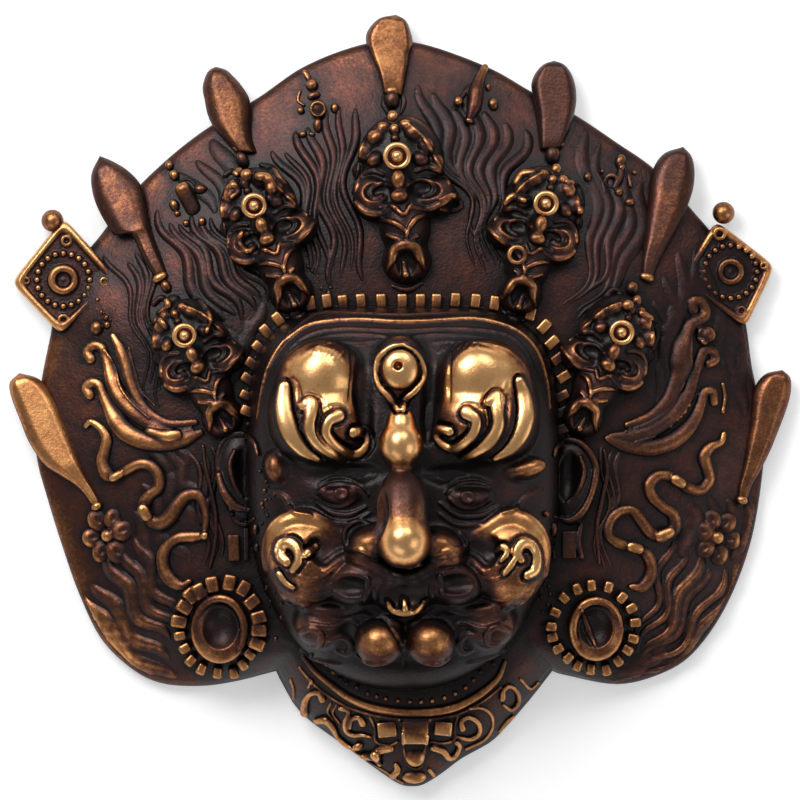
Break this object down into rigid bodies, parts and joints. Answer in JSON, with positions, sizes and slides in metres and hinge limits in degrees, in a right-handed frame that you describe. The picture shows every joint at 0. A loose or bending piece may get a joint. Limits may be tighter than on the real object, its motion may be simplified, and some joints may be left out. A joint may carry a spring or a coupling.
{
  "type": "bhairava mask",
  "caption": "Cast bronze wall mask of Bhairava: wrathful three-eyed face, skull crown and blades on a flame-haired plate, hollow behind.",
  "frame": {"origin": "under the middle of the mask's bounding box, in the plane of its flat back rim", "axes": "+Z out through the nose, +Y from the chin to the crest, +X to the viewer's right of the face"},
  "size_m": [0.2621, 0.2574, 0.0729],
  "materials": {
    "bronze": "cast bronze under a dark red-brown patina, rubbed to gold on the high spots"
  },
  "bodies": {
    "root": {"mask": "bronze"}
  },
  "joints": []
}
